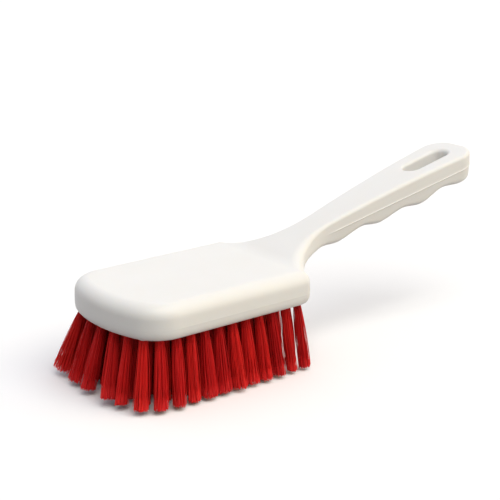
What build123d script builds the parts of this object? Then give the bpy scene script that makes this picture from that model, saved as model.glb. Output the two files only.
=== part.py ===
from build123d import *
from math import atan2, copysign, cos, hypot, radians, sin, tan
import os

# A short-handled scrub brush, standing on its bristle tips.
# X runs from the toe of the head to the end of the handle, Y across the head, and Z up.
# The origin is on the floor, in the middle of the brush's length with its splayed tips, and of its width.

# Head, as seen from above
head_length = 105.6  # toe to the shoulder corners, before these are rounded
head_width = 78.2
toe_bulge = 9.8  # the middle of the toe ahead of its corners, before these are rounded
toe_corner = 19.4
shoulder_round = 4.3

# Handle, as seen from above
overall_length = 255.0  # toe to the end of the handle
neck_setback = 11.9  # from the shoulder corners to where the flare and the handle's sides meet
neck_width = 15.1
neck_curve = 37.6
handle_end_width = 36.0
handle_corner = 12.6

# The side view
bristle_length = 36.4  # underside of the head to the floor
head_depth = 17.7
rise_setback = 1.7  # the top line starts to rise this far ahead of the shoulder corners
rise_curve = 19.6
neck_slope = 19.25  # degrees, as the handle leaves the head
handle_rise = 39.7  # top of the head to the top of the handle's end
underside_setback = 4.0  # the underside starts to rise this far ahead of the shoulder corners
neck_depth = 15.0  # thickness of the handle at its first finger bump
handle_depth = 17.0  # thickness of the handle at its last finger bump
finger_grooves = 4
finger_pitch = 30.6
finger_groove_depth = 2.7
first_groove_reach = 30.3  # along the back of the handle, from the end of the rise

# Edges
top_round = 4.0
bottom_round = 1.8
rim_round = 1.2

# The slot for hanging up the brush
slot_length = 31.8
slot_width = 11.0
slot_end_inset = 11.2  # from the end of the handle

# Tuft holes
tuft_rows = 12
toe_row_inset = 6.8
toe_row_sag = 2.4  # the ends of the first row lie this far behind its middle
heel_row_inset = 4.2  # from the shoulder corners to the last row
side_inset = 6.0
toe_row_tufts = 6
full_row_tufts = 8
hole_radius = 2.1
hole_depth = 12.0
toe_row_reach_share = 0.81
second_row_reach_share = 0.95

# Each row's tufts stand on a slice of the head's face, let into it
slice_depth = 1.2
slice_margin = 0.8
fit_gap = 0.05

# Strands
side_splay = 4.2  # the outermost tips stand this far outside their roots
toe_splay = 10.2
heel_splay = 2.2
corner_ease_share = 0.5  # the toe splays less towards its corners by this share
corner_fan_share = 0.6  # and its corners splay more to the sides by this share
strand_foot = 1.15
strand_tip = 1.8
foot_ring = 1.3  # radius of the ring that the outer strands of a tuft stand on
tip_ring = 3.2
foot_sink = 0.6  # the strands run this far up into their slice
trim_depth = 0.5  # cut off the tips, so that they end flat on the floor
ring_strands = 4
ring_turn = 45.0  # degrees, from along the head to the ring's first strand

# Anchors, the flat wire clips that hold the folded tufts in their holes
anchor_depth = 2.0
anchor_thickness = 0.35
anchor_bite = 0.7  # into the plastic on each side of the hole
anchor_turn = 45.0  # degrees, from across the head
fold_depth = 1.6  # of tuft above its anchor

overrun = 5.0  # of a cutting shape past the piece
pick_margin = 0.05  # a corner of the plan is picked this far either side of its place

# Places worked out from these
half_head = head_width / 2
half_neck = neck_width / 2
half_end = handle_end_width / 2
toe_overhang = toe_splay + tip_ring * cos(radians(ring_turn)) + strand_tip / 2 - toe_row_inset
toe_x = (toe_overhang - overall_length) / 2
toe_corner_x = toe_x + toe_bulge
shoulder_x = toe_x + head_length
neck_x = shoulder_x + neck_setback
end_x = toe_x + overall_length
first_row_x = toe_x + toe_row_inset
last_row_x = shoulder_x - heel_row_inset
head_top = bristle_length + head_depth
rise_x = shoulder_x - rise_setback
slope = radians(neck_slope)
back_start = (rise_x + rise_curve * sin(slope), head_top + rise_curve * (1 - cos(slope)))
back_end = (end_x, head_top + handle_rise)
back_chord = hypot(back_end[0] - back_start[0], back_end[1] - back_start[1])
chord_slope = atan2(back_end[1] - back_start[1], back_end[0] - back_start[0])
end_slope = 2 * chord_slope - slope
back_radius = back_chord / (2 * sin(slope - chord_slope))
back_length = back_radius * (slope - end_slope)
back_centre = (
    back_start[0] + back_radius * sin(slope),
    back_start[1] - back_radius * cos(slope),
)
slot_x = end_x - slot_end_inset - slot_length / 2
anchor_base = bristle_length + hole_depth - fold_depth - anchor_depth
anchor_length = 2 * (hole_radius + anchor_bite)
tuft_reach = half_head - side_inset
row_pitch = (last_row_x - first_row_x) / (tuft_rows - 1)


def below_back(along, depth):
    """The point this far along the handle's back from the end of the rise, and this deep below it."""
    tilt = slope - along / back_radius
    ring = back_radius - depth
    return (back_centre[0] - ring * sin(tilt), back_centre[1] + ring * cos(tilt))


def underside_points():
    """The handle's underside: a groove and a bump for each finger, from the neck to the end."""
    points = []
    last_bump = finger_grooves - 1
    for finger in range(finger_grooves):
        groove_at = first_groove_reach + finger * finger_pitch
        depth = neck_depth + (handle_depth - neck_depth) * finger / last_bump
        points.append(below_back(groove_at, depth - finger_groove_depth))
        points.append(below_back(groove_at + finger_pitch / 2, depth))
    return points


def row_reach(row):
    """How far from the middle the outermost tufts of a row stand."""
    shares = {0: toe_row_reach_share, 1: second_row_reach_share}
    return tuft_reach * shares.get(row, 1.0)


def row_sag(row, y):
    """How far behind the middle of its row a tuft at y stands: only the first row follows the toe."""
    return toe_row_sag * (y / row_reach(row)) ** 2 if row == 0 else 0.0


def row_x(row):
    """Where the middle of a row stands along the head."""
    return first_row_x + row * row_pitch


def tuft_places(row):
    """The middles of a row's tuft holes, as seen from above."""
    count = toe_row_tufts if row == 0 else full_row_tufts
    reach = row_reach(row)
    across = [reach * (2 * place / (count - 1) - 1) for place in range(count)]
    return [(row_x(row) + row_sag(row, y), y) for y in across]


def lean(x, y):
    """How far the tips of the tuft at x, y stand out from its root, lengthwise and across."""
    side = y / tuft_reach
    back = (x - first_row_x) / (last_row_x - first_row_x)
    ahead = toe_splay * (1 - back) ** 3 * (1 - corner_ease_share * side**2)
    across = side_splay * abs(side) ** 1.5 * (1 + corner_fan_share * (1 - back) ** 3)
    return heel_splay * back**2 - ahead, copysign(across, side)


def slice_outline(row, gap):
    """Draws the outline of a row's slice, this much wider than the slice itself."""
    width = 2 * (hole_radius + slice_margin + gap)
    if row == 0:
        ends = tuft_places(row)
        middle = (row_x(row), 0)
        SlotArc(ThreePointArc(ends[0], middle, ends[-1], mode=Mode.PRIVATE), width)
    else:
        with Locations((row_x(row), 0)):
            SlotCenterToCenter(2 * row_reach(row), width, rotation=90)


def anchor_outlines(row):
    """Draws the outlines of a row's anchors, seen from above."""
    with Locations(*tuft_places(row)):
        Rectangle(anchor_length, anchor_thickness, rotation=anchor_turn)


def strand(foot, tip):
    """One strand: a straight square rod that widens from its slice to its tip."""
    with BuildPart() as rod:
        with BuildSketch(Plane(foot)):
            Rectangle(strand_foot, strand_foot)
        with BuildSketch(Plane(tip)):
            Rectangle(strand_tip, strand_tip)
        loft(ruled=True)
    return rod.part


def tuft_strands(x, y):
    """The strands of one tuft: one in the middle and a ring around it, which spread and lean out."""
    out_x, out_y = lean(x, y)
    # The rods run on below the floor by the depth that the trim takes off
    past = 1 + trim_depth / bristle_length
    strands = []
    for turn in [None] + [360 * place / ring_strands for place in range(ring_strands)]:
        ring_x = 0 if turn is None else cos(radians(turn + ring_turn))
        ring_y = 0 if turn is None else sin(radians(turn + ring_turn))
        foot = (x + foot_ring * ring_x, y + foot_ring * ring_y, bristle_length + foot_sink)
        spread = tip_ring - foot_ring
        tip = (
            foot[0] + past * (out_x + spread * ring_x),
            foot[1] + past * (out_y + spread * ring_y),
            -trim_depth,
        )
        strands.append(strand(foot, tip))
    return strands


def rim_edges(solid, up):
    """The edges where the walls meet the faces that look up, or down where up is -1."""
    walls = solid.faces().filter_by(lambda face: abs(face.normal_at().Z) < 0.1)
    flats = solid.faces().filter_by(lambda face: up * face.normal_at().Z > 0.5)
    wall_edges = walls.edges()
    return [edge for edge in flats.edges() if edge in wall_edges]


def limited_neck_curve():
    """The neck's curve, no larger than the flare between the shoulder and the handle can take."""
    flare = atan2(half_head - half_neck, neck_setback)
    side = atan2(half_end - half_neck, end_x - neck_x)
    room = hypot(half_head - half_neck, neck_setback) - shoulder_round * tan(flare / 2)
    return min(neck_curve, 0.99 * room / tan((flare + side) / 2))


# The block: head and handle in one moulding, first as the plan outline, then cut to the side view
with BuildPart() as block:
    with BuildSketch() as plan:
        with BuildLine():
            TangentArc((toe_x, 0), (toe_corner_x, half_head), tangent=(0, 1))
            Polyline(
                (toe_corner_x, half_head),
                (shoulder_x, half_head),
                (neck_x, half_neck),
                (end_x, half_end),
                (end_x, 0),
            )
            mirror(about=Plane.XZ)
        make_face()
        rounds = (
            (toe_corner_x, toe_corner),
            (shoulder_x, shoulder_round),
            (neck_x, limited_neck_curve()),
            (end_x, handle_corner),
        )
        for corner_x, radius in rounds:
            corners = plan.vertices().filter_by_position(
                Axis.X, corner_x - pick_margin, corner_x + pick_margin
            )
            fillet([corner for corner in corners if abs(corner.Y) > pick_margin], radius)
    extrude(amount=head_top + handle_rise + overrun)

    with BuildSketch(Plane.XZ) as side_view:
        with BuildLine():
            Line((toe_x - overrun, head_top), (rise_x, head_top))
            TangentArc((rise_x, head_top), back_start, tangent=(1, 0))
            past_top = below_back(back_length + overrun, 0)
            past_bottom = below_back(back_length + overrun, handle_depth)
            TangentArc(back_start, past_top, tangent=(cos(slope), sin(slope)))
            underside = [(shoulder_x - underside_setback, bristle_length)] + underside_points()
            Spline(*underside, past_bottom, tangents=[(1, 0), (cos(end_slope), sin(end_slope))])
            Line(past_bottom, past_top)
            Polyline(underside[0], (toe_x - overrun, bristle_length), (toe_x - overrun, head_top))
        make_face()
    extrude(amount=half_head + overrun, both=True, mode=Mode.INTERSECT)

    fillet(rim_edges(block, 1), min(top_round, shoulder_round))
    fillet(rim_edges(block, -1), min(bottom_round, shoulder_round))

    # The slot for hanging it up goes straight down through the handle's end
    with BuildSketch() as slot:
        with Locations((slot_x, 0)):
            SlotOverall(slot_length, slot_width)
    extrude(amount=head_top + handle_rise + overrun, mode=Mode.SUBTRACT)
    fillet(block.edges(Select.LAST).filter_by(Axis.Z, reverse=True), rim_round)

    # The seats of the slices, the blind holes above them, and what the anchors bite out of the walls
    with BuildSketch(Plane.XY.offset(bristle_length)) as seats:
        for row in range(tuft_rows):
            slice_outline(row, fit_gap)
    extrude(amount=slice_depth, mode=Mode.SUBTRACT)
    with BuildSketch(Plane.XY.offset(bristle_length)) as holes:
        for row in range(tuft_rows):
            with Locations(*tuft_places(row)):
                Circle(hole_radius)
    extrude(amount=hole_depth, mode=Mode.SUBTRACT)
    with BuildSketch(Plane.XY.offset(anchor_base)) as bites:
        for row in range(tuft_rows):
            anchor_outlines(row)
    extrude(amount=anchor_depth, mode=Mode.SUBTRACT)
block.part.label = "brush_block"

os.makedirs("parts", exist_ok=True)
export_step(block.part, "parts/brush_block.step")

for row in range(tuft_rows):
    # A row of tufts: their slice, the folded roots in their holes, and the strands down to the floor
    strands = [rod for x, y in tuft_places(row) for rod in tuft_strands(x, y)]
    with BuildPart() as tufts:
        with BuildSketch(Plane.XY.offset(bristle_length)) as row_slice:
            slice_outline(row, 0)
        extrude(amount=slice_depth)
        with BuildSketch(Plane.XY.offset(bristle_length + slice_depth)) as roots:
            with Locations(*tuft_places(row)):
                Circle(hole_radius - fit_gap)
        extrude(amount=hole_depth - slice_depth)
        with BuildSketch(Plane.XY.offset(anchor_base)) as folds:
            anchor_outlines(row)
        extrude(amount=anchor_depth, mode=Mode.SUBTRACT)
        add(strands)
        split(bisect_by=Plane.XY, keep=Keep.TOP)
    tufts.part.label = f"tuft_row_{row + 1:02d}"
    export_step(tufts.part, f"parts/{tufts.part.label}.step")

    # The row's anchors, one clip across the middle of each hole
    with BuildPart() as anchors:
        with BuildSketch(Plane.XY.offset(anchor_base)) as clips:
            anchor_outlines(row)
        extrude(amount=anchor_depth)
    anchors.part.label = f"anchor_row_{row + 1:02d}"
    export_step(anchors.part, f"parts/{anchors.part.label}.step")
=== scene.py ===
"""A short-handled scrub brush: a white moulded block with a rising grip and splayed tufts of red bristle.

X runs from the toe of the head to the end of the handle, Y across the head and Z up, away from the tips.
Shapes are worked out in millimetres and become metres when a mesh is made.
"""

import logging
import math
from dataclasses import dataclass
from enum import Enum

import bmesh
import bpy
import numpy as np
from mathutils import Matrix, Vector


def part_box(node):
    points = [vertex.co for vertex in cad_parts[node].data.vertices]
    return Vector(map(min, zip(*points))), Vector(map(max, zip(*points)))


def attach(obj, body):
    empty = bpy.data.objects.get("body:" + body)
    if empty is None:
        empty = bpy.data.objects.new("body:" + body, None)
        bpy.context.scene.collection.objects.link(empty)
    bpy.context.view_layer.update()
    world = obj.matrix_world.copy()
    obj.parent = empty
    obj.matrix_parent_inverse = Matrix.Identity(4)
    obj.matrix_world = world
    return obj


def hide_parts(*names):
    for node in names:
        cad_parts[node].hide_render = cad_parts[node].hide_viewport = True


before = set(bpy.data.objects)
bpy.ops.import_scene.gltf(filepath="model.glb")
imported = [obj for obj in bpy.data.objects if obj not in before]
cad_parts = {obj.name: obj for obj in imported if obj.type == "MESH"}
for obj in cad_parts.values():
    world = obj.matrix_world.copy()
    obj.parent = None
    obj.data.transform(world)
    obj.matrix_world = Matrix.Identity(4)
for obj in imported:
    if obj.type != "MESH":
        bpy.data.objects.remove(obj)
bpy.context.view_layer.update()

MM = 0.001
MERGE = 0.002  # mm, within which the seams of a surface are joined

Array = np.ndarray
Finish = bpy.types.Material
Node = bpy.types.Node
Socket = bpy.types.NodeSocket
Thing = bpy.types.Object
Tree = bpy.types.NodeTree

log = logging.getLogger("scrub_brush")


def unit(vectors: Array) -> Array:
    """The vectors divided by their lengths."""
    return vectors / np.linalg.norm(vectors, axis=-1, keepdims=True)


def eased(share: Array) -> Array:
    """A smooth step, 3 t squared less 2 t cubed, of a share held between 0 and 1."""
    t = np.clip(share, 0.0, 1.0)
    return t * t * (3.0 - 2.0 * t)


def blend(start: float, end: float, share: Array) -> Array:
    """A value that eases from start to end as the share goes from 0 to 1."""
    return start + (end - start) * eased(share)


def box_of(node: str) -> tuple[Array, Array]:
    """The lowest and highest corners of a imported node, in millimetres."""
    low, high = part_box(node)
    return np.array(low) / MM, np.array(high) / MM


def linear(code: str) -> tuple[float, float, float, float]:
    """Turns an sRGB hex colour to linear light.

    Args:
        code: Six hex digits after a hash, as in "#F2F0EC".

    Returns:
        Red, green and blue in linear light, and an alpha of 1.
    """
    channels = np.array([int(code[at : at + 2], 16) / 255 for at in (1, 3, 5)])
    light = np.where(channels <= 0.04045, channels / 12.92, ((channels + 0.055) / 1.055) ** 2.4)
    return (*map(float, light), 1.0)


def grid_quads(rows: int, columns: int, closed: bool = False) -> Array:
    """The faces of a grid whose points are numbered along its columns first.

    Args:
        rows: How many lines of points there are.
        columns: How many points are in each line.
        closed: Whether each line runs round to its own start.

    Returns:
        Four point numbers for each face.
    """
    along = np.arange(columns if closed else columns - 1)
    first = np.arange(rows - 1)[:, None] * columns
    here, there = first + along, first + (along + 1) % columns
    return np.stack([here, there, there + columns, here + columns], axis=-1).reshape(-1, 4)


def mesh_object(name: str, points: Array, quads: Array) -> Thing:
    """Makes a smooth mesh object at the origin from points in millimetres.

    Args:
        name: The object's name.
        points: One row of X, Y and Z for each point.
        quads: Four point numbers for each face.

    Returns:
        The object, linked to the scene.
    """
    mesh = bpy.data.meshes.new(name)
    mesh.vertices.add(len(points))
    mesh.vertices.foreach_set("co", (points * MM).astype(np.float32).ravel())
    mesh.loops.add(quads.size)
    mesh.loops.foreach_set("vertex_index", quads.astype(np.int32).ravel())
    mesh.polygons.add(len(quads))
    mesh.polygons.foreach_set("loop_start", np.arange(0, quads.size, 4, dtype=np.int32))
    mesh.polygons.foreach_set("use_smooth", np.full(len(quads), True))
    mesh.update(calc_edges=True)
    mesh.validate()
    thing = bpy.data.objects.new(name, mesh)
    bpy.context.scene.collection.objects.link(thing)
    return thing


def sew(thing: Thing) -> None:
    """Joins the seams of a mesh and turns its faces outwards.

    Args:
        thing: The mesh's object.
    """
    work = bmesh.new()
    work.from_mesh(thing.data)
    bmesh.ops.remove_doubles(work, verts=work.verts, dist=MERGE * MM)
    bmesh.ops.dissolve_degenerate(work, edges=work.edges, dist=MERGE * MM / 10)
    bmesh.ops.recalc_face_normals(work, faces=work.faces)
    work.to_mesh(thing.data)
    work.free()


def add_node(tree: Tree, kind: str, settings: dict | None = None, inputs: dict | None = None) -> Node:
    """Adds a node with its settings, values and links.

    Args:
        tree: The tree that the node joins.
        kind: Blender's name of the node's type.
        settings: The node's own properties, by name.
        inputs: A value or another node's output for each input, by name or number.

    Returns:
        The new node.
    """
    node = tree.nodes.new(kind)
    for key, value in (settings or {}).items():
        setattr(node, key, value)
    for key, value in (inputs or {}).items():
        if isinstance(value, Socket):
            tree.links.new(value, node.inputs[key])
        else:
            node.inputs[key].default_value = value
    return node


def new_tree(name: str) -> tuple[Finish, Tree]:
    """A new material with an empty node tree.

    Args:
        name: The material's name.

    Returns:
        The material and its tree.
    """
    material = bpy.data.materials.new(name)
    material.use_nodes = True
    material.node_tree.nodes.clear()
    return material, material.node_tree


def clouds(tree: Tree, size: float, detail: float = 2.0, bend: float = 0.0) -> Socket:
    """Adds soft random clouds that stay put on a piece.

    Args:
        tree: The tree that the nodes join.
        size: Millimetres from one cloud to the next.
        detail: How many times finer clouds are laid over them.
        bend: How far they are bent.

    Returns:
        An output between 0 and 1.
    """
    place = add_node(tree, "ShaderNodeTexCoord").outputs["Object"]
    values = {"Vector": place, "Scale": 1 / (size * MM), "Detail": detail, "Distortion": bend}
    return add_node(tree, "ShaderNodeTexNoise", inputs=values).outputs[0]


def swing(tree: Tree, share: Socket, low: float, high: float) -> Socket:
    """A value that goes from low to high with a share."""
    values = {"Value": share, "To Min": low, "To Max": high}
    return add_node(tree, "ShaderNodeMapRange", inputs=values).outputs[0]


def surface(tree: Tree, values: dict) -> None:
    """Adds the shader of a solid surface with these values, and the material's output."""
    shader = add_node(tree, "ShaderNodeBsdfPrincipled", inputs=values)
    add_node(tree, "ShaderNodeOutputMaterial", inputs={"Surface": shader.outputs[0]})


def looked_at(tree: Tree) -> Socket:
    """Adds nodes that tell what is seen, straight or in gloss or through glass, from what only gives light.

    Args:
        tree: The tree that the nodes join.

    Returns:
        An output that is 1 for what is seen and 0 for the rest.
    """
    path = add_node(tree, "ShaderNodeLightPath").outputs
    highest = {"operation": "MAXIMUM"}
    seen = add_node(tree, "ShaderNodeMath", highest, {0: path["Is Camera Ray"], 1: path["Is Glossy Ray"]})
    seen = add_node(tree, "ShaderNodeMath", highest, {0: seen.outputs[0], 1: path["Is Transmission Ray"]})
    return seen.outputs[0]


class Tone(Enum):
    """The colours of the brush and of the studio, as they look in plain light."""

    WHITE_RESIN = "#EFEEEB"
    WHITE_RESIN_FLOW = "#EBE9E4"
    RED_FILAMENT = "#DA1A1B"
    RED_FILAMENT_LIGHT = "#EC2A20"
    RED_FILAMENT_DEEP = "#BE1216"
    STEEL = "#C9C9CB"
    STUDIO_WHITE = "#FFFFFF"
    KEY_LIGHT = "#FFFEF8"
    SIDE_LIGHT = "#FFEBC4"
    BACK_LIGHT = "#E2E8FF"
    ROOM_LIGHT = "#FFFAF8"


@dataclass(frozen=True)
class MouldedPolypropylene:
    """Injection-moulded polypropylene, natural white: milky and satin, with the mould's fine grain."""

    grain: float = 0.45  # mm, drawn a little coarser than the real grain so that it shows
    grain_depth: float = 0.006  # mm
    grain_detail: float = 2.0
    flow: float = 38.0  # mm between the faint clouds left as the resin fills the mould
    flow_detail: float = 3.0
    flow_bend: float = 0.6
    sink: float = 24.0  # mm between the shallow sinks of thick sections as they cool
    sink_depth: float = 0.05  # mm
    sink_detail: float = 1.0
    least_rough: float = 0.33
    most_rough: float = 0.47
    ior: float = 1.49
    milkiness: float = 0.4  # how much light goes into the plastic
    glow: float = 3.0  # mm that light travels in it
    glow_shares: tuple[float, float, float] = (1.0, 0.85, 0.7)  # of that way, for red, green and blue

    def material(self) -> Finish:
        """The material, made of slow clouds of tone, shallow sinks and fine grain."""
        material, tree = new_tree("moulded_polypropylene")
        flow = clouds(tree, self.flow, self.flow_detail, self.flow_bend)
        tone = add_node(
            tree,
            "ShaderNodeMix",
            {"data_type": "RGBA"},
            {0: flow, 6: linear(Tone.WHITE_RESIN.value), 7: linear(Tone.WHITE_RESIN_FLOW.value)},
        )
        sheen = swing(tree, flow, self.least_rough, self.most_rough)
        sinks = clouds(tree, self.sink, self.sink_detail)
        grain = clouds(tree, self.grain, self.grain_detail)
        dips = add_node(
            tree,
            "ShaderNodeBump",
            inputs={"Strength": 1.0, "Distance": self.sink_depth * MM, "Height": sinks},
        )
        skin = add_node(
            tree,
            "ShaderNodeBump",
            inputs={
                "Strength": 1.0,
                "Distance": self.grain_depth * MM,
                "Height": grain,
                "Normal": dips.outputs[0],
            },
        )
        values = {
            "Base Color": tone.outputs[2],
            "Roughness": sheen,
            "IOR": self.ior,
            "Subsurface Weight": self.milkiness,
            "Subsurface Radius": self.glow_shares,
            "Subsurface Scale": self.glow * MM,
            "Normal": skin.outputs[0],
        }
        surface(tree, values)
        return material


@dataclass(frozen=True)
class DrawnPolyester:
    """Drawn polyester filament, dyed red through: slightly clear, each strand a little lighter or darker."""

    roughness: float = 0.52
    ior: float = 1.5
    shine: float = 0.2  # as a share of twice the full gloss, since neighbouring filaments hide half of it
    clearness: float = 0.1
    glow: float = 0.6  # mm that light travels in it
    glow_shares: tuple[float, float, float] = (1.0, 0.25, 0.2)  # of that way, for red, green and blue

    def material(self) -> Finish:
        """The material, whose red goes from deep to light by each strand's own value."""
        material, tree = new_tree("drawn_polyester")
        strand = add_node(tree, "ShaderNodeAttribute", {"attribute_name": "strand"}).outputs["Fac"]
        ramp = add_node(tree, "ShaderNodeValToRGB", inputs={0: strand})
        stops = ramp.color_ramp.elements
        stops[0].color = linear(Tone.RED_FILAMENT_DEEP.value)
        stops[1].color = linear(Tone.RED_FILAMENT_LIGHT.value)
        middle = stops.new(0.5)
        middle.color = linear(Tone.RED_FILAMENT.value)
        values = {
            "Base Color": ramp.outputs[0],
            "Roughness": self.roughness,
            "IOR": self.ior,
            "Specular IOR Level": self.shine,
            "Subsurface Weight": self.clearness,
            "Subsurface Radius": self.glow_shares,
            "Subsurface Scale": self.glow * MM,
        }
        surface(tree, values)
        return material


@dataclass(frozen=True)
class DrawnStainlessWire:
    """Flat drawn stainless wire: bright grey, its gloss broken up by the fine marks of the die."""

    mark: float = 0.08  # mm across the die's marks
    least_rough: float = 0.224
    most_rough: float = 0.364

    def material(self) -> Finish:
        """The material, a metal whose roughness swings from mark to mark."""
        material, tree = new_tree("drawn_stainless_wire")
        marks = clouds(tree, self.mark)
        sheen = swing(tree, marks, self.least_rough, self.most_rough)
        surface(tree, {"Base Color": linear(Tone.STEEL.value), "Metallic": 1.0, "Roughness": sheen})
        return material


@dataclass(frozen=True)
class Plan:
    """The brush's outline seen from above, of which only the half with Y above zero is worked out."""

    toe_x: float
    end_x: float
    half_head: float
    toe_bulge: float = 9.8
    toe_corner: float = 19.4
    head_length: float = 106.5
    shoulder_round: float = 4.3
    neck_setback: float = 11.6
    half_neck: float = 7.7
    neck_curve: float = 38.4
    half_end: float = 17.8
    end_corner: float = 12.6
    step: float = 0.1  # between the points that the outline is kept as
    least_points: int = 3  # of an arc or a line

    @property
    def shoulder_x(self) -> float:
        """Where the shoulder corners are, before they are rounded."""
        return self.toe_x + self.head_length

    def arc(self, centre: Array, start: Array, end: Array, side: float) -> tuple[Array, Array]:
        """Points of an arc, the centre plus the radius times the cosine and sine of its angle.

        Args:
            centre: The middle of its circle.
            start: Its first point.
            end: Its last point, less than half a turn away.
            side: 1 where the plastic is inside the arc, or -1 where it is outside.

        Returns:
            The points, and the direction out of the plastic at each.
        """
        radius = np.linalg.norm(start - centre)
        first = math.atan2(*(start - centre)[::-1])
        turn = math.remainder(math.atan2(*(end - centre)[::-1]) - first, math.tau)
        count = max(self.least_points, round(radius * abs(turn) / self.step))
        angles = first + turn * np.linspace(0, 1, count)
        spoke = np.stack([np.cos(angles), np.sin(angles)], axis=-1)
        return centre + radius * spoke, side * spoke

    def line(self, start: Array, end: Array) -> tuple[Array, Array]:
        """Points of a straight run, and the direction out of the plastic, a quarter turn left of it.

        Args:
            start: Its first point.
            end: Its last point.

        Returns:
            The points, and the direction at each.
        """
        count = max(self.least_points, round(np.linalg.norm(end - start) / self.step))
        share = np.linspace(0, 1, count)[:, None]
        along = unit(end - start)
        return start + (end - start) * share, np.tile([-along[1], along[0]], (len(share), 1))

    def rounded(self, before: Array, corner: Array, after: Array, radius: float) -> tuple[Array, ...]:
        """The centre and the two tangent points of an arc that rounds a corner.

        Args:
            before: A point on the run that leads to the corner.
            corner: The corner.
            after: A point on the run that leaves it.
            radius: The arc's radius.

        Returns:
            The centre, and the arc's first and last points.
        """
        back, ahead = unit(before - corner), unit(after - corner)
        half_angle = math.acos(float(back @ ahead)) / 2
        run = radius / math.tan(half_angle)
        centre = corner + unit(back + ahead) * radius / math.sin(half_angle)
        return centre, corner + back * run, corner + ahead * run

    def half(self) -> tuple[Array, Array]:
        """Half the outline, from the middle of the toe to the middle of the handle's end.

        Returns:
            Its points, close together, and the direction out of the plastic at each.
        """
        toe_radius = (self.toe_bulge**2 + self.half_head**2) / (2 * self.toe_bulge)
        toe_centre = np.array([self.toe_x + toe_radius, 0.0])
        rise = self.half_head - self.toe_corner
        reach = math.sqrt((toe_radius - self.toe_corner) ** 2 - rise**2)
        corner_centre = np.array([toe_centre[0] - reach, rise])
        toe_meets = toe_centre + unit(corner_centre - toe_centre) * toe_radius
        side_start = np.array([corner_centre[0], self.half_head])
        shoulder = np.array([self.shoulder_x, self.half_head])
        neck = np.array([self.shoulder_x + self.neck_setback, self.half_neck])
        end_corner = np.array([self.end_x, self.half_end])
        end_middle = np.array([self.end_x, 0.0])
        shoulder_arc = self.rounded(side_start, shoulder, neck, self.shoulder_round)
        neck_arc = self.rounded(shoulder, neck, end_corner, self.neck_curve)
        end_arc = self.rounded(neck, end_corner, end_middle, self.end_corner)
        runs = [
            self.arc(toe_centre, np.array([self.toe_x, 0.0]), toe_meets, 1),
            self.arc(corner_centre, toe_meets, side_start, 1),
            self.line(side_start, shoulder_arc[1]),
            self.arc(*shoulder_arc, 1),
            self.line(shoulder_arc[2], neck_arc[1]),
            self.arc(*neck_arc, -1),
            self.line(neck_arc[2], end_arc[1]),
            self.arc(*end_arc, 1),
            self.line(end_arc[2], end_middle),
        ]
        return np.concatenate([run[0] for run in runs]), np.concatenate([run[1] for run in runs])


@dataclass(frozen=True)
class Profile:
    """The brush seen from the side: the height of its back and of its underside along X."""

    shoulder_x: float
    end_x: float
    underside: float
    head_depth: float = 17.7
    handle_rise: float = 39.75
    rise_setback: float = 5.7  # the back starts to rise this far ahead of the shoulder corners
    rise_curve: float = 29.1
    neck_slope: float = math.radians(18.5)
    underside_setback: float = 7.2
    neck_run: float = 24.6  # from where the underside starts to rise to where it has the handle's depth
    first_groove: float = 30.3  # along the back, from the end of the rise
    finger_pitch: float = 30.6
    bump_depths: tuple[float, ...] = (14.3, 16.2, 17.4, 16.1)
    groove_depths: tuple[float, ...] = (11.4, 12.8, 14.6, 13.9)

    @property
    def head_top(self) -> float:
        """The height of the head's flat top."""
        return self.underside + self.head_depth

    @property
    def rise_x(self) -> float:
        """Where the back starts to rise."""
        return self.shoulder_x - self.rise_setback

    @property
    def curve_start(self) -> tuple[float, float]:
        """Where the rise out of the head ends and the long curve of the handle starts.

        Returns:
            Its X and its height.
        """
        return (
            self.rise_x + self.rise_curve * math.sin(self.neck_slope),
            self.head_top + self.rise_curve * (1 - math.cos(self.neck_slope)),
        )

    @property
    def long_curve(self) -> tuple[float, float, float]:
        """The radius and the centre of the handle's back, a circle through both its ends.

        Returns:
            The radius, and the centre's X and height.
        """
        start_x, start_z = self.curve_start
        run, climb = self.end_x - start_x, self.head_top + self.handle_rise - start_z
        radius = math.hypot(run, climb) / (2 * math.sin(self.neck_slope - math.atan2(climb, run)))
        return (
            radius,
            start_x + radius * math.sin(self.neck_slope),
            start_z - radius * math.cos(self.neck_slope),
        )

    def back(self, x: Array) -> Array:
        """The height of the back: flat on the head, then a hollow arc, then a long arc the other way.

        Args:
            x: Places along the brush.

        Returns:
            The height at each.
        """
        radius, centre_x, centre_z = self.long_curve
        into = np.clip(x - self.rise_x, 0, self.curve_start[0] - self.rise_x)
        hollow = self.head_top + self.rise_curve - np.sqrt(self.rise_curve**2 - into**2)
        crown = centre_z + np.sqrt(radius**2 - (np.minimum(x, centre_x) - centre_x) ** 2)
        return np.where(x < self.curve_start[0], hollow, crown)

    def depth(self, x: Array) -> Array:
        """The handle's depth under its back: it eases from each finger groove to each bump and back.

        Args:
            x: Places along the brush.

        Returns:
            The depth at each, straight down.
        """
        radius, centre_x, _ = self.long_curve
        tilt = np.arcsin(np.clip((centre_x - x) / radius, -1, 1))
        phase = (radius * (self.neck_slope - tilt) - self.first_groove) / (self.finger_pitch / 2)
        knots = [depth for pair in zip(self.groove_depths, self.bump_depths) for depth in pair]
        last = len(knots) - 1
        whole = np.clip(np.floor(phase), 0, last - 1).astype(int)
        level = np.array(knots)
        share = eased(phase - whole)
        across = level[whole] + (level[whole + 1] - level[whole]) * share
        return across / np.cos(tilt)

    def under(self, x: Array) -> Array:
        """The height of the underside: flat under the head, then it eases up to the handle's depth.

        Args:
            x: Places along the brush.

        Returns:
            The height at each.
        """
        handle = self.back(x) - self.depth(np.maximum(x, self.curve_start[0]))
        share = eased((x - self.shoulder_x + self.underside_setback) / self.neck_run)
        return self.underside + (np.maximum(handle, self.underside) - self.underside) * share


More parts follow.
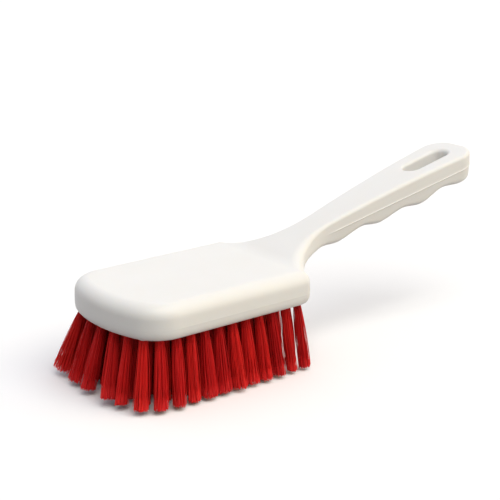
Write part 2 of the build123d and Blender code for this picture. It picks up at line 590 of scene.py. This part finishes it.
@dataclass(frozen=True)
class Block:
    """Head and handle in one moulding, with its parting line, soft edges and hanging slot."""

    plan: Plan
    profile: Profile
    head_top_round: float = 7.2
    handle_top_round: float = 2.1
    corner_inset: float = 4.0  # how near the outline the sections keep the round's points at the shoulders
    corner_reach: float = 9.0
    head_bottom_round: float = 4.6  # height of the oval round under the head's edge
    head_bottom_inset: float = 2.4  # its width
    handle_bottom_round: float = 3.0
    head_parting: float = 5.6  # height of the parting line above the head's underside
    handle_parting: float = 7.9  # its depth below the back at the handle's end
    parting_slope: float = 0.232  # it runs straight along the handle
    draft_above: float = math.radians(1.5)  # of the walls above the parting line
    draft_below: float = math.radians(4.0)
    head_flash: float = 0.03  # how far the parting line stands proud
    handle_flash: float = 0.24
    flash_width: float = 0.9
    slot_length: float = 31.8
    slot_width: float = 11.0
    slot_end_inset: float = 11.2
    slot_rim: float = 1.9
    nose: float = 30.0  # where the middle line of the top starts, behind the toe
    nose_reach: float = 70.0
    tail: float = 5.0  # where it ends, ahead of the handle's end
    station: float = 0.8  # between sections
    end_station: float = 0.5  # the same behind the slot
    outline_stride: int = 4  # the distance from the outline is measured to every fourth of its points
    round_points: int = 12  # of each rounded edge's section
    wall_points: int = 7  # above the parting line, and again below it
    flash_points: int = 9
    back_points: int = 14
    back_crowding: float = 1.7  # the power by which the back's points gather towards its edge
    under_points: int = 12
    rim_points: int = 8
    slot_points: int = 10
    change_ahead: float = 4.0  # ahead of the shoulders, where the head's edges start to become the handle's
    change_run: float = 42.0
    seam_start: float = 14.0  # behind the toe, where the parting line starts to show
    seam_gap: tuple[float, float] = (2.0, 34.0)  # behind the shoulders, where none shows round the neck
    seam_fade: float = 12.0

    @property
    def slot_front(self) -> float:
        """X of the slot's front end."""
        return self.slot_back - self.slot_length

    @property
    def slot_back(self) -> float:
        """X of the slot's back end."""
        return self.plan.end_x - self.slot_end_inset

    def towards_handle(self, x: Array) -> Array:
        """The share by which edges and parting line have changed from the head's to the handle's."""
        return (x - self.plan.shoulder_x + self.change_ahead) / self.change_run

    def parting(self, x: Array) -> Array:
        """The height of the parting line: level round the head, then easing to a straight slope.

        Args:
            x: Places along the brush.

        Returns:
            The height at each.
        """
        end = self.plan.end_x
        straight = self.profile.back(np.array(end)) - self.handle_parting - self.parting_slope * (end - x)
        level = self.profile.underside + self.head_parting
        return level + (straight - level) * eased(self.towards_handle(x))

    def seam(self, x: Array) -> Array:
        """How clearly the parting line shows: along head and handle, but not round the toe and the neck.

        Args:
            x: Places along the brush.

        Returns:
            A share of the flash's full height at each.
        """
        behind = x - self.plan.shoulder_x
        head = eased((x - self.plan.toe_x - self.seam_start) / self.seam_fade)
        fades, returns = (eased((behind - at) / self.seam_fade) for at in self.seam_gap)
        return head - fades + returns

    def drop(self, points: Array, inside: Array) -> Array:
        """How far the back's rounded edge has fallen: the radius less the height of its circle.

        Args:
            points: X and Y of places on the back.
            inside: How far each is inside the top of the wall.

        Returns:
            The fall at each place, which is nothing beyond the radius.
        """
        radius = blend(self.head_top_round, self.handle_top_round, self.towards_handle(points[..., 0]))
        left = np.clip(radius - inside, 0, radius)
        return radius - np.sqrt(radius**2 - left**2)

    def from_outline(self, points: Array) -> Array:
        """How far each row of points is from the nearest point of the outline.

        Args:
            points: X and Y of places on the back, in rows.

        Returns:
            The distance of each.
        """
        dense = self.plan.half()[0][:: self.outline_stride]
        squares = [np.min(np.sum((row[:, None] - dense) ** 2, axis=-1), axis=-1) for row in points]
        return np.sqrt(np.stack(squares))

    def slot_loop(self, share: Array) -> tuple[Array, Array]:
        """Half the rim of the slot on the back, a quarter circle, a straight run and a quarter circle.

        Args:
            share: Where on the half rim, from 0 at its front end to 1 at its back end.

        Returns:
            The points, and the direction away from the slot at each.
        """
        radius = self.slot_width / 2 + self.slot_rim
        straight = self.slot_length - self.slot_width
        quarter = radius * math.pi / 2
        run = share * (2 * quarter + straight)
        front, back = self.slot_front + self.slot_width / 2, self.slot_back - self.slot_width / 2
        angle = math.pi - np.minimum(run, quarter) / radius - np.maximum(run - quarter - straight, 0) / radius
        away = np.stack([np.cos(angle), np.sin(angle)], axis=-1)
        middle = np.stack([np.clip(front + run - quarter, front, back), np.zeros_like(run)], axis=-1)
        return middle + radius * away, away

    def stations(self) -> tuple[Array, Array, Array, slice, Array]:
        """Where the sections stand: on the outline, and where each reaches the middle line or the slot.

        Returns:
            The outline's points, the directions out of it, the sections' inner ends, which of them are
            at the slot, and the directions away from the slot there.
        """
        dense, outward = self.plan.half()
        steps = np.linalg.norm(np.diff(dense, axis=0), axis=1)
        travel = np.concatenate([[0.0], np.cumsum(steps)])
        rim_front, rim_back = self.slot_front - self.slot_rim, self.slot_back + self.slot_rim
        at_front, at_back = np.interp([rim_front, rim_back], dense[:, 0], travel)
        loop = math.pi * (self.slot_width / 2 + self.slot_rim) + self.slot_length - self.slot_width
        counts = [
            round(at_front / self.station),
            round(loop / self.station),
            round((travel[-1] - at_back) / self.end_station),
        ]
        spans = [
            np.linspace(0, at_front, counts[0], endpoint=False),
            np.linspace(at_front, at_back, counts[1]),
            np.linspace(at_back, travel[-1], counts[2] + 1)[1:],
        ]
        places = np.concatenate(spans)
        points = np.stack([np.interp(places, travel, dense[:, axis]) for axis in (0, 1)], axis=-1)
        facing = unit(np.stack([np.interp(places, travel, outward[:, axis]) for axis in (0, 1)], axis=-1))
        before = points[: counts[0], 0]
        left = np.clip(1 - (before - self.plan.toe_x) / self.nose_reach, 0, 1)
        spine = before + self.nose * left**2
        beyond = np.linspace(0, 1, counts[2] + 1)[1:]
        tail = rim_back + (self.plan.end_x - self.tail - rim_back) * beyond
        rim, away = self.slot_loop(np.linspace(0, 1, counts[1]))
        core = np.concatenate(
            [
                np.stack([spine, np.zeros_like(spine)], axis=-1),
                rim,
                np.stack([tail, np.zeros_like(tail)], axis=-1),
            ]
        )
        return points, facing, core, slice(counts[0], counts[0] + counts[1]), away

    def sections(self, plan: Array, outward: Array, core: Array) -> Array:
        """The surface outside the slot: each section runs over the back, down the wall and under again.

        The back and the underside run straight from the middle line to the outline, at the heights that the
        profile gives. Between them come a quarter circle, a wall that leans out to the parting line and in
        again below it, the thin flash on that line, and a quarter oval. The height of the back falls with
        the distance from the outline by the quarter circle's rule, so that it is smooth at the shoulders too.

        Args:
            plan: The outline's point of each section.
            outward: The direction out of the outline there.
            core: The inner end of each section.

        Returns:
            Points by section and by place along it.
        """
        x = plan[:, :1]
        handle = self.towards_handle(x)
        top_round = blend(self.head_top_round, self.handle_top_round, handle)
        corner = 1 - np.abs(x - self.plan.shoulder_x) / self.corner_reach
        reach_in = blend(top_round, np.minimum(top_round, self.corner_inset), corner)
        bottom_round = blend(self.head_bottom_round, self.handle_bottom_round, handle)
        bottom_inset = blend(self.head_bottom_inset, self.handle_bottom_round, handle)
        seam = self.seam(x)
        flash = blend(self.head_flash, self.handle_flash, handle) * seam
        top = self.profile.back(x) - top_round
        bottom = self.profile.under(x) + bottom_round
        half_flash = self.flash_width / 2
        parting = np.clip(self.parting(x), bottom + half_flash, top - half_flash)

        def offset(height: Array) -> Array:
            """How far the wall stands out of the outline at this height.

            Args:
                height: Heights on the wall.

            Returns:
                The distance at each.
            """
            above = height - parting
            bead = np.clip(1 - np.abs(above) / half_flash, 0, 1)
            steady = math.tan(self.draft_above)
            lean = np.where(above > 0, steady, steady + (math.tan(self.draft_below) - steady) * seam)
            return flash * eased(bead) - lean * np.abs(above)

        def at(distance: Array) -> Array:
            """Points this far out of the outline, seen from above."""
            return plan[:, None, :] + outward[:, None, :] * distance[..., None]

        turn = np.linspace(0, math.pi / 2, self.round_points)
        ramp = np.linspace(0, 1, self.wall_points)
        bead = np.linspace(1, -1, self.flash_points) * half_flash
        wall_height = np.concatenate(
            [
                top + (parting + half_flash - top) * ramp[:-1],
                parting + bead,
                (parting - half_flash) + (bottom - parting + half_flash) * ramp[1:],
            ],
            axis=1,
        )
        wall = at(offset(wall_height))
        inset = reach_in * (1 - np.sin(turn))
        over = at(offset(top) - inset)
        over_height = self.profile.back(over[..., 0]) - self.drop(over, inset)
        below = at(offset(bottom) - bottom_inset + bottom_inset * np.cos(turn))
        below_height = self.profile.under(below[..., 0]) + bottom_round * (1 - np.sin(turn))
        inner = core[:, None, :]
        reach = np.linspace(0, 1, self.under_points)[None, :, None]
        near_edge = 1 - (1 - np.linspace(0, 1, self.back_points)[None, :, None]) ** self.back_crowding
        back = inner + (over[:, :1] - inner) * near_edge[:, :-1]
        under = below[:, -1:] + (inner - below[:, -1:]) * reach[:, 1:]
        flat = np.concatenate([back, over, wall[:, 1:-1], below, under], axis=1)
        height = np.concatenate(
            [
                self.profile.back(back[..., 0]) - self.drop(back, self.from_outline(back) + offset(top)),
                over_height,
                wall_height[:, 1:-1],
                below_height,
                self.profile.under(under[..., 0]),
            ],
            axis=1,
        )
        return np.concatenate([flat, height[..., None]], axis=-1)

    def slot_wall(self, rim: Array, away: Array) -> Array:
        """The surface inside the slot: a quarter circle at each rim and a straight wall between them.

        Args:
            rim: Points of the rim, where the quarter circles start.
            away: The direction away from the slot at each.

        Returns:
            Points by place along the rim and by place down the wall.
        """
        turn = np.linspace(0, math.pi / 2, self.rim_points)
        inward = self.slot_rim * np.sin(turn)
        drop = self.slot_rim * (1 - np.cos(turn))
        fall = np.linspace(0, 1, self.slot_points)[1:-1]
        flat = rim[:, None, :] - away[:, None, :] * np.concatenate(
            [inward, np.full(len(fall), self.slot_rim), inward[::-1]]
        )[None, :, None]
        back, under = self.profile.back(flat[..., 0]), self.profile.under(flat[..., 0])
        count = len(turn)
        high = back[:, :count] - drop
        low = under[:, -count:] + drop[::-1]
        between = high[:, -1:] + (low[:, :1] - high[:, -1:]) * fall
        return np.concatenate([flat, np.concatenate([high, between, low], axis=1)[..., None]], axis=-1)

    def build(self) -> Thing:
        """Builds the moulding: one half, mirrored across its middle and sewn up.

        Returns:
            The moulding.
        """
        plan, outward, core, slot, away = self.stations()
        skin = self.sections(plan, outward, core)
        hole = self.slot_wall(core[slot], away)
        points, quads, count = [], [], 0
        for surface in (skin, hole):
            for side in (1, -1):
                points.append(surface.reshape(-1, 3) * [1, side, 1])
                quads.append(grid_quads(*surface.shape[:2]) + count)
                count += surface.shape[0] * surface.shape[1]
        block = mesh_object("moulded_block", np.concatenate(points), np.concatenate(quads))
        sew(block)
        return block

    def dress(self, block: Thing, finish: Finish) -> None:
        """Gives the moulding its finish and its place in the frame.

        Args:
            block: The moulding.
            finish: Its material.
        """
        block.data.materials.append(finish)
        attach(block, "root")
        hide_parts("brush_block")


@dataclass(frozen=True)
class Tufts:
    """The bristle: rows of tufts, each a fan of trimmed filaments out of its hole in the head."""

    underside: float
    rows: int = 12
    toe_row_count: int = 6
    row_count: int = 8
    hole_radius: float = 2.1
    hole_lip: float = 0.28
    lip_turn: int = 24  # points round a lip
    lip_bead: int = 8  # and round its section
    filaments: int = 150
    filament_radius: float = 0.165
    filament_sides: int = 4
    filament_rings: int = 6
    sunk: float = 1.0  # how far up into its hole a filament is drawn
    side_splay: float = 4.2
    toe_splay: float = 10.2
    heel_splay: float = 2.5
    corner_ease: float = 0.5
    corner_fan: float = 0.6
    swept_side: float = 4.4  # how much further the toe's far corner is pushed out by use
    swept_ahead: float = 2.2
    swept_reach: float = 7.0
    swept_spread: float = 1.0
    parted: float = 12.1  # how far use has parted the toe's first row towards its near corner
    parted_reach: float = 11.3
    parted_depth: float = 6.0
    tuft_spread: float = 4.15  # radius of a tuft at its tips
    toe_spread: float = 0.2  # the share by which the toe's tufts are narrower
    heel_spread: float = 0.5  # and the heel's
    spread_swing: float = 0.2
    tip_lift: float = 1.3  # the outermost tips are trimmed this much shorter
    trim_swing: float = 0.6
    stray: float = 0.36
    bow: float = 0.45
    tuft_tone: float = 0.5  # the share of a filament's tone that its whole tuft has in common
    seed: int = 11

    def places(self, row: int) -> Array:
        """The middles of a row's holes, read from where its anchors lie in the frame.

        Args:
            row: The row's number, from 1 at the toe.

        Returns:
            X and Y of each hole.
        """
        low, high = box_of(f"anchor_row_{row:02d}")
        last_low, last_high = box_of(f"anchor_row_{self.rows:02d}")
        half_anchor = (last_high[0] - last_low[0]) / 2
        reach = high[1] - half_anchor
        sag = (high[0] - low[0]) - 2 * half_anchor
        across = np.linspace(-reach, reach, self.toe_row_count if row == 1 else self.row_count)
        return np.stack([low[0] + half_anchor + sag * (across / reach) ** 2, across], axis=-1)

    def swept(self, places: Array) -> Array:
        """How strongly each place belongs to the toe's far corner, a bell around its outermost hole.

        Args:
            places: X and Y of each hole.

        Returns:
            A share for each.
        """
        corner = self.places(1)[-1]
        off = np.linalg.norm(places - corner, axis=-1)
        return np.exp(-0.5 * (off / self.swept_reach) ** 2)

    def lean(self, places: Array) -> Array:
        """How far the middle of each tuft's tips stands out from its hole.

        The toe's tufts lean forward, by the cube of how near they are to it and less towards its corners, and
        the heel's a little back. The sides' tufts lean out, by the power 1.5 of their share of the way from
        the middle, and more at the toe's corners. Those of the first row's near half are parted from its far
        half, less the further they are from the middle.

        Args:
            places: X and Y of each hole.

        Returns:
            How far to go along X and Y for each.
        """
        first = self.places(1)[:, 0].min()
        last, reach = self.places(self.rows)[[0, -1], [0, 1]]
        side = places[:, 1] / reach
        back = (places[:, 0] - first) / (last - first)
        toe = (1 - back) ** 3
        swept = self.swept(places)
        to_near = np.where(places[:, 1] < 0, self.parted * np.exp(places[:, 1] / self.parted_reach), 0)
        to_near *= np.exp(-(((places[:, 0] - first) / self.parted_depth) ** 2))
        ahead = self.toe_splay * toe * (1 - self.corner_ease * side**2) + self.swept_ahead * swept
        out = self.side_splay * np.sign(side) * np.abs(side) ** 1.5 * (1 + self.corner_fan * toe)
        along = self.heel_splay * back**1.5 - ahead
        return np.stack([along, out + self.swept_side * swept - to_near], axis=-1)

    def row(self, row: int, chance: np.random.Generator) -> Thing:
        """Builds one row's filaments.

        A filament is a square tube whose middle line runs straight from its root to its tip, with a slight
        bow. The roots fill a disc, turned by the golden angle from one to the next, and the tips fill a
        wider oval around the tuft's leaning middle. All are about as long, so that a tip ends higher the
        further it leans, by the rule of the right-angled triangle.

        Args:
            row: The row's number, from 1 at the toe.
            chance: The source of the small differences between filaments.

        Returns:
            The row's mesh, with a value between 0 and 1 for each filament in its "strand" attribute.
        """
        holes = self.places(row)
        lean = self.lean(holes)
        tufts, each = len(holes), self.filaments
        order = np.arange(each)
        turn = order * math.pi * (3 - math.sqrt(5)) + chance.uniform(0, math.tau, (tufts, 1))
        disc = np.sqrt((order + 0.5) / each)[None, :]
        spot = np.stack([np.cos(turn), np.sin(turn)], axis=-1) * disc[..., None]
        root = holes[:, None, :] + spot * (self.hole_radius - self.filament_radius)
        swing = 1 + self.spread_swing * chance.standard_normal((tufts, 1, 2))
        back = (row - 1) / (self.rows - 1)
        width = self.tuft_spread * (1 - self.toe_spread * (1 - back) ** 4 - self.heel_spread * back**5)
        fan = 1 + self.swept(holes)[:, None, None] * [0.0, self.swept_spread]
        spread = width * swing * fan
        wander = chance.standard_normal((tufts, each, 2)) * self.stray
        tip = holes[:, None, :] + lean[:, None, :] + spot * spread + wander
        lift = self.tip_lift * np.clip(np.linalg.norm(lean, axis=1) / self.side_splay, 0, 1)[:, None]
        trim = lift + np.abs(chance.standard_normal((tufts, each))) * self.trim_swing
        root = root.reshape(-1, 2)
        tip = tip.reshape(-1, 2)
        length = self.underside - trim.reshape(-1)
        low = self.underside - np.sqrt(length**2 - np.sum((tip - root) ** 2, axis=1))
        bend = chance.standard_normal((tufts * each, 2)) * self.bow

        share = np.linspace(0, 1, self.filament_rings)
        middle = (
            root[:, None, :]
            + (tip - root)[:, None, :] * share[None, :, None]
            + bend[:, None, :] * (4 * share * (1 - share))[None, :, None]
        )
        top = self.underside + self.sunk
        height = top + (low[:, None] - top) * share[None, :]
        corner = chance.uniform(0, math.tau, (tufts * each, 1)) + np.arange(self.filament_sides) * (
            math.tau / self.filament_sides
        )
        ring = self.filament_radius * np.stack([np.cos(corner), np.sin(corner)], axis=-1)
        flat = middle[:, :, None, :] + ring[:, None, :, :]
        level = np.broadcast_to(height[:, :, None, None], (*flat.shape[:3], 1))
        points = np.concatenate([flat, level], axis=-1)

        per_filament = self.filament_rings * self.filament_sides
        tube = grid_quads(self.filament_rings, self.filament_sides, closed=True)
        root_end = np.arange(self.filament_sides)
        ends = np.stack([root_end, per_filament - 1 - root_end])
        pattern = np.concatenate([tube, ends])
        first = np.arange(tufts * each)[:, None, None] * per_filament
        quads = (pattern[None] + first).reshape(-1, 4)
        thing = mesh_object(f"tufts_{row:02d}", points.reshape(-1, 3), quads)

        own = chance.uniform(0, 1, (tufts, each)) * (1 - self.tuft_tone)
        tone = own + chance.uniform(0, self.tuft_tone, (tufts, 1))
        shade = thing.data.attributes.new("strand", "FLOAT", "POINT")
        shade.data.foreach_set("value", np.repeat(tone.reshape(-1), per_filament).astype(np.float32))
        return thing

    def lips(self) -> Thing:
        """Builds the low lip that the filling of each hole raised around it, a half-sunk ring.

        Returns:
            The lips of all holes.
        """
        turn = np.linspace(0, math.tau, self.lip_turn, endpoint=False)
        bead = np.linspace(0, math.tau, self.lip_bead, endpoint=False)
        around, across = np.meshgrid(turn, bead, indexing="ij")
        radius = self.hole_radius + self.hole_lip * np.cos(across)
        height = self.underside + self.hole_lip * np.sin(across)
        ring = np.stack([radius * np.cos(around), radius * np.sin(around), height], axis=-1)
        ring = np.concatenate([ring, ring[:1]]).reshape(-1, 3)
        holes = np.concatenate([self.places(row) for row in range(1, self.rows + 1)])
        shift = np.concatenate([holes, np.zeros((len(holes), 1))], axis=1)
        points = (shift[:, None, :] + ring[None]).reshape(-1, 3)
        quads = grid_quads(len(turn) + 1, len(bead), closed=True)
        quads = (quads[None] + np.arange(len(holes))[:, None, None] * len(ring)).reshape(-1, 4)
        lips = mesh_object("hole_lips", points, quads)
        sew(lips)
        return lips

    def dress(self, row: int, tufts: Thing, finish: Finish) -> None:
        """Gives a row of tufts its finish and its place in the frame.

        Args:
            row: The row's number, from 1 at the toe.
            tufts: The row.
            finish: Its material.
        """
        tufts.data.materials.append(finish)
        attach(tufts, "root")
        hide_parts(f"tuft_row_{row:02d}")

    def dress_lips(self, lips: Thing, finish: Finish) -> None:
        """Gives the lips the block's finish and their place in the frame.

        Args:
            lips: The lips of all holes.
            finish: The block's material.
        """
        lips.data.materials.append(finish)
        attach(lips, "root")


@dataclass(frozen=True)
class Anchors:
    """The short wires that hold the tufts in their holes, hidden in the head and kept as they are packed."""

    rows: int

    def dress(self, row: int, finish: Finish) -> Thing:
        """Gives a row's anchors their finish.

        Args:
            row: The row's number, from 1 at the toe.
            finish: Their material.

        Returns:
            The row's anchors.
        """
        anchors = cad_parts[f"anchor_row_{row:02d}"]
        anchors.data.materials.clear()
        anchors.data.materials.append(finish)
        return anchors


@dataclass(frozen=True)
class Lamp:
    """A wide soft light that falls evenly over everything."""

    name: str
    level: float  # what it adds to the colour of a matt surface that faces it
    towards: tuple[float, float, float]  # the direction in which it stands
    softness: float  # degrees across
    tone: Tone

    def build(self) -> None:
        """Adds the light to the scene."""
        lamp = bpy.data.lights.new(self.name, "SUN")
        lamp.energy = self.level * math.pi
        lamp.angle = math.radians(self.softness)
        lamp.color = linear(self.tone.value)[:3]
        light = bpy.data.objects.new(self.name, lamp)
        light.rotation_euler = Vector(self.towards).to_track_quat("Z", "Y").to_euler()
        bpy.context.scene.collection.objects.link(light)


@dataclass(frozen=True)
class Studio:
    """The pale floor, the soft light and the camera."""

    toe_x: float
    underside: float
    floor_size: float = 8000.0
    floor_lines: int = 9  # of points, each way
    floor_bounce: float = 0.33  # the floor's grey for the light that it throws back at the object
    floor_seen: float = 1.03  # its white where it is looked at
    room_level: float = 0.2
    lamps: tuple[Lamp, ...] = (
        Lamp("key", 0.66, (0.0, -0.5, 0.87), 60, Tone.KEY_LIGHT),
        Lamp("side", 0.4, (0.8, -0.65, 0.18), 60, Tone.SIDE_LIGHT),
        Lamp("back", 0.27, (0.0, 0.5, 0.87), 110, Tone.BACK_LIGHT),
    )
    camera_azimuth: float = math.radians(-39.014)
    camera_elevation: float = math.radians(16.797)
    camera_distance: float = 771.2
    focal_share: float = 2.8388  # focal length as a share of the picture's width
    sensor: float = 36.0
    aim_behind_toe: float = 120.0
    aim_above_underside: float = 6.6
    shift_right: float = -17.782
    shift_up: float = 10.446
    nearest: float = 0.05  # metres from the camera, the least that it sees
    furthest: float = 50.0

    def surroundings(self) -> None:
        """Sets the world: white where it is seen, and a dimmer glow for the light that it gives."""
        world = bpy.data.worlds.new("studio")
        bpy.context.scene.world = world
        world.use_nodes = True
        tree = world.node_tree
        tree.nodes.clear()
        glow, white = (
            add_node(tree, "ShaderNodeBackground", inputs={"Color": linear(tone.value), "Strength": level})
            for tone, level in ((Tone.ROOM_LIGHT, self.room_level), (Tone.STUDIO_WHITE, 1.0))
        )
        shaders = {0: looked_at(tree), 1: glow.outputs[0], 2: white.outputs[0]}
        mix = add_node(tree, "ShaderNodeMixShader", inputs=shaders)
        add_node(tree, "ShaderNodeOutputWorld", inputs={"Surface": mix.outputs[0]})

    def floor(self) -> Thing:
        """Builds the floor, white where it is looked at and grey for the light that it throws back.

        Returns:
            The floor.
        """
        share = np.linspace(-0.5, 0.5, self.floor_lines)
        x, y = np.meshgrid(share * self.floor_size, share * self.floor_size, indexing="ij")
        points = np.stack([x, y, np.zeros_like(x)], axis=-1).reshape(-1, 3)
        floor = mesh_object("studio_floor", points, grid_quads(self.floor_lines, self.floor_lines))
        material, tree = new_tree("matt_white_paper")
        seen, bounced = (
            add_node(tree, "ShaderNodeBsdfDiffuse", inputs={"Color": (grey, grey, grey, 1)})
            for grey in (self.floor_seen, self.floor_bounce)
        )
        shaders = {0: looked_at(tree), 1: bounced.outputs[0], 2: seen.outputs[0]}
        mix = add_node(tree, "ShaderNodeMixShader", inputs=shaders)
        add_node(tree, "ShaderNodeOutputMaterial", inputs={"Surface": mix.outputs[0]})
        floor.data.materials.append(material)
        return floor

    def camera(self) -> None:
        """Sets the camera where the photograph was taken from."""
        a, e = self.camera_azimuth, self.camera_elevation
        back = Vector((math.sin(a) * math.cos(e), -math.cos(a) * math.cos(e), math.sin(e)))
        right = Vector((math.cos(a), math.sin(a), 0))
        up = back.cross(right)
        aim = Vector((self.toe_x + self.aim_behind_toe, 0, self.underside + self.aim_above_underside))
        eye = aim + self.shift_right * right + self.shift_up * up + self.camera_distance * back
        lens = bpy.data.cameras.new("camera")
        lens.sensor_width = self.sensor
        lens.lens = self.focal_share * self.sensor
        lens.clip_start, lens.clip_end = self.nearest, self.furthest
        camera = bpy.data.objects.new("camera", lens)
        turned = Matrix((right, up, back)).transposed().to_4x4()
        camera.matrix_world = Matrix.Translation(eye * MM) @ turned
        bpy.context.scene.collection.objects.link(camera)
        bpy.context.scene.camera = camera

    def build(self) -> None:
        """Builds the floor, the lights and the camera, and shows colours as they are written."""
        self.floor()
        self.surroundings()
        for lamp in self.lamps:
            lamp.build()
        self.camera()
        bpy.context.scene.view_settings.view_transform = "Standard"


def main() -> None:
    """Builds the brush and the studio around it, and reports each piece."""
    logging.basicConfig(level=logging.INFO, format="%(name)s: %(message)s")
    low, high = box_of("brush_block")
    plan = Plan(toe_x=low[0], end_x=high[0], half_head=high[1])
    profile = Profile(shoulder_x=plan.shoulder_x, end_x=high[0], underside=low[2])
    resin = MouldedPolypropylene().material()
    block = Block(plan, profile)
    moulding = block.build()
    block.dress(moulding, resin)
    log.info("%s has %d faces", moulding.name, len(moulding.data.polygons))

    tufts = Tufts(underside=low[2])
    bristle = DrawnPolyester().material()
    chance = np.random.default_rng(tufts.seed)
    for row in range(1, tufts.rows + 1):
        fan = tufts.row(row, chance)
        tufts.dress(row, fan, bristle)
        log.info("%s has %d faces", fan.name, len(fan.data.polygons))
    lips = tufts.lips()
    tufts.dress_lips(lips, resin)
    log.info("%s has %d faces", lips.name, len(lips.data.polygons))

    wire = DrawnStainlessWire().material()
    anchors = Anchors(tufts.rows)
    for row in range(1, anchors.rows + 1):
        log.info("%s is wire", anchors.dress(row, wire).name)

    Studio(toe_x=low[0], underside=low[2]).build()


if __name__ == "__main__":
    main()
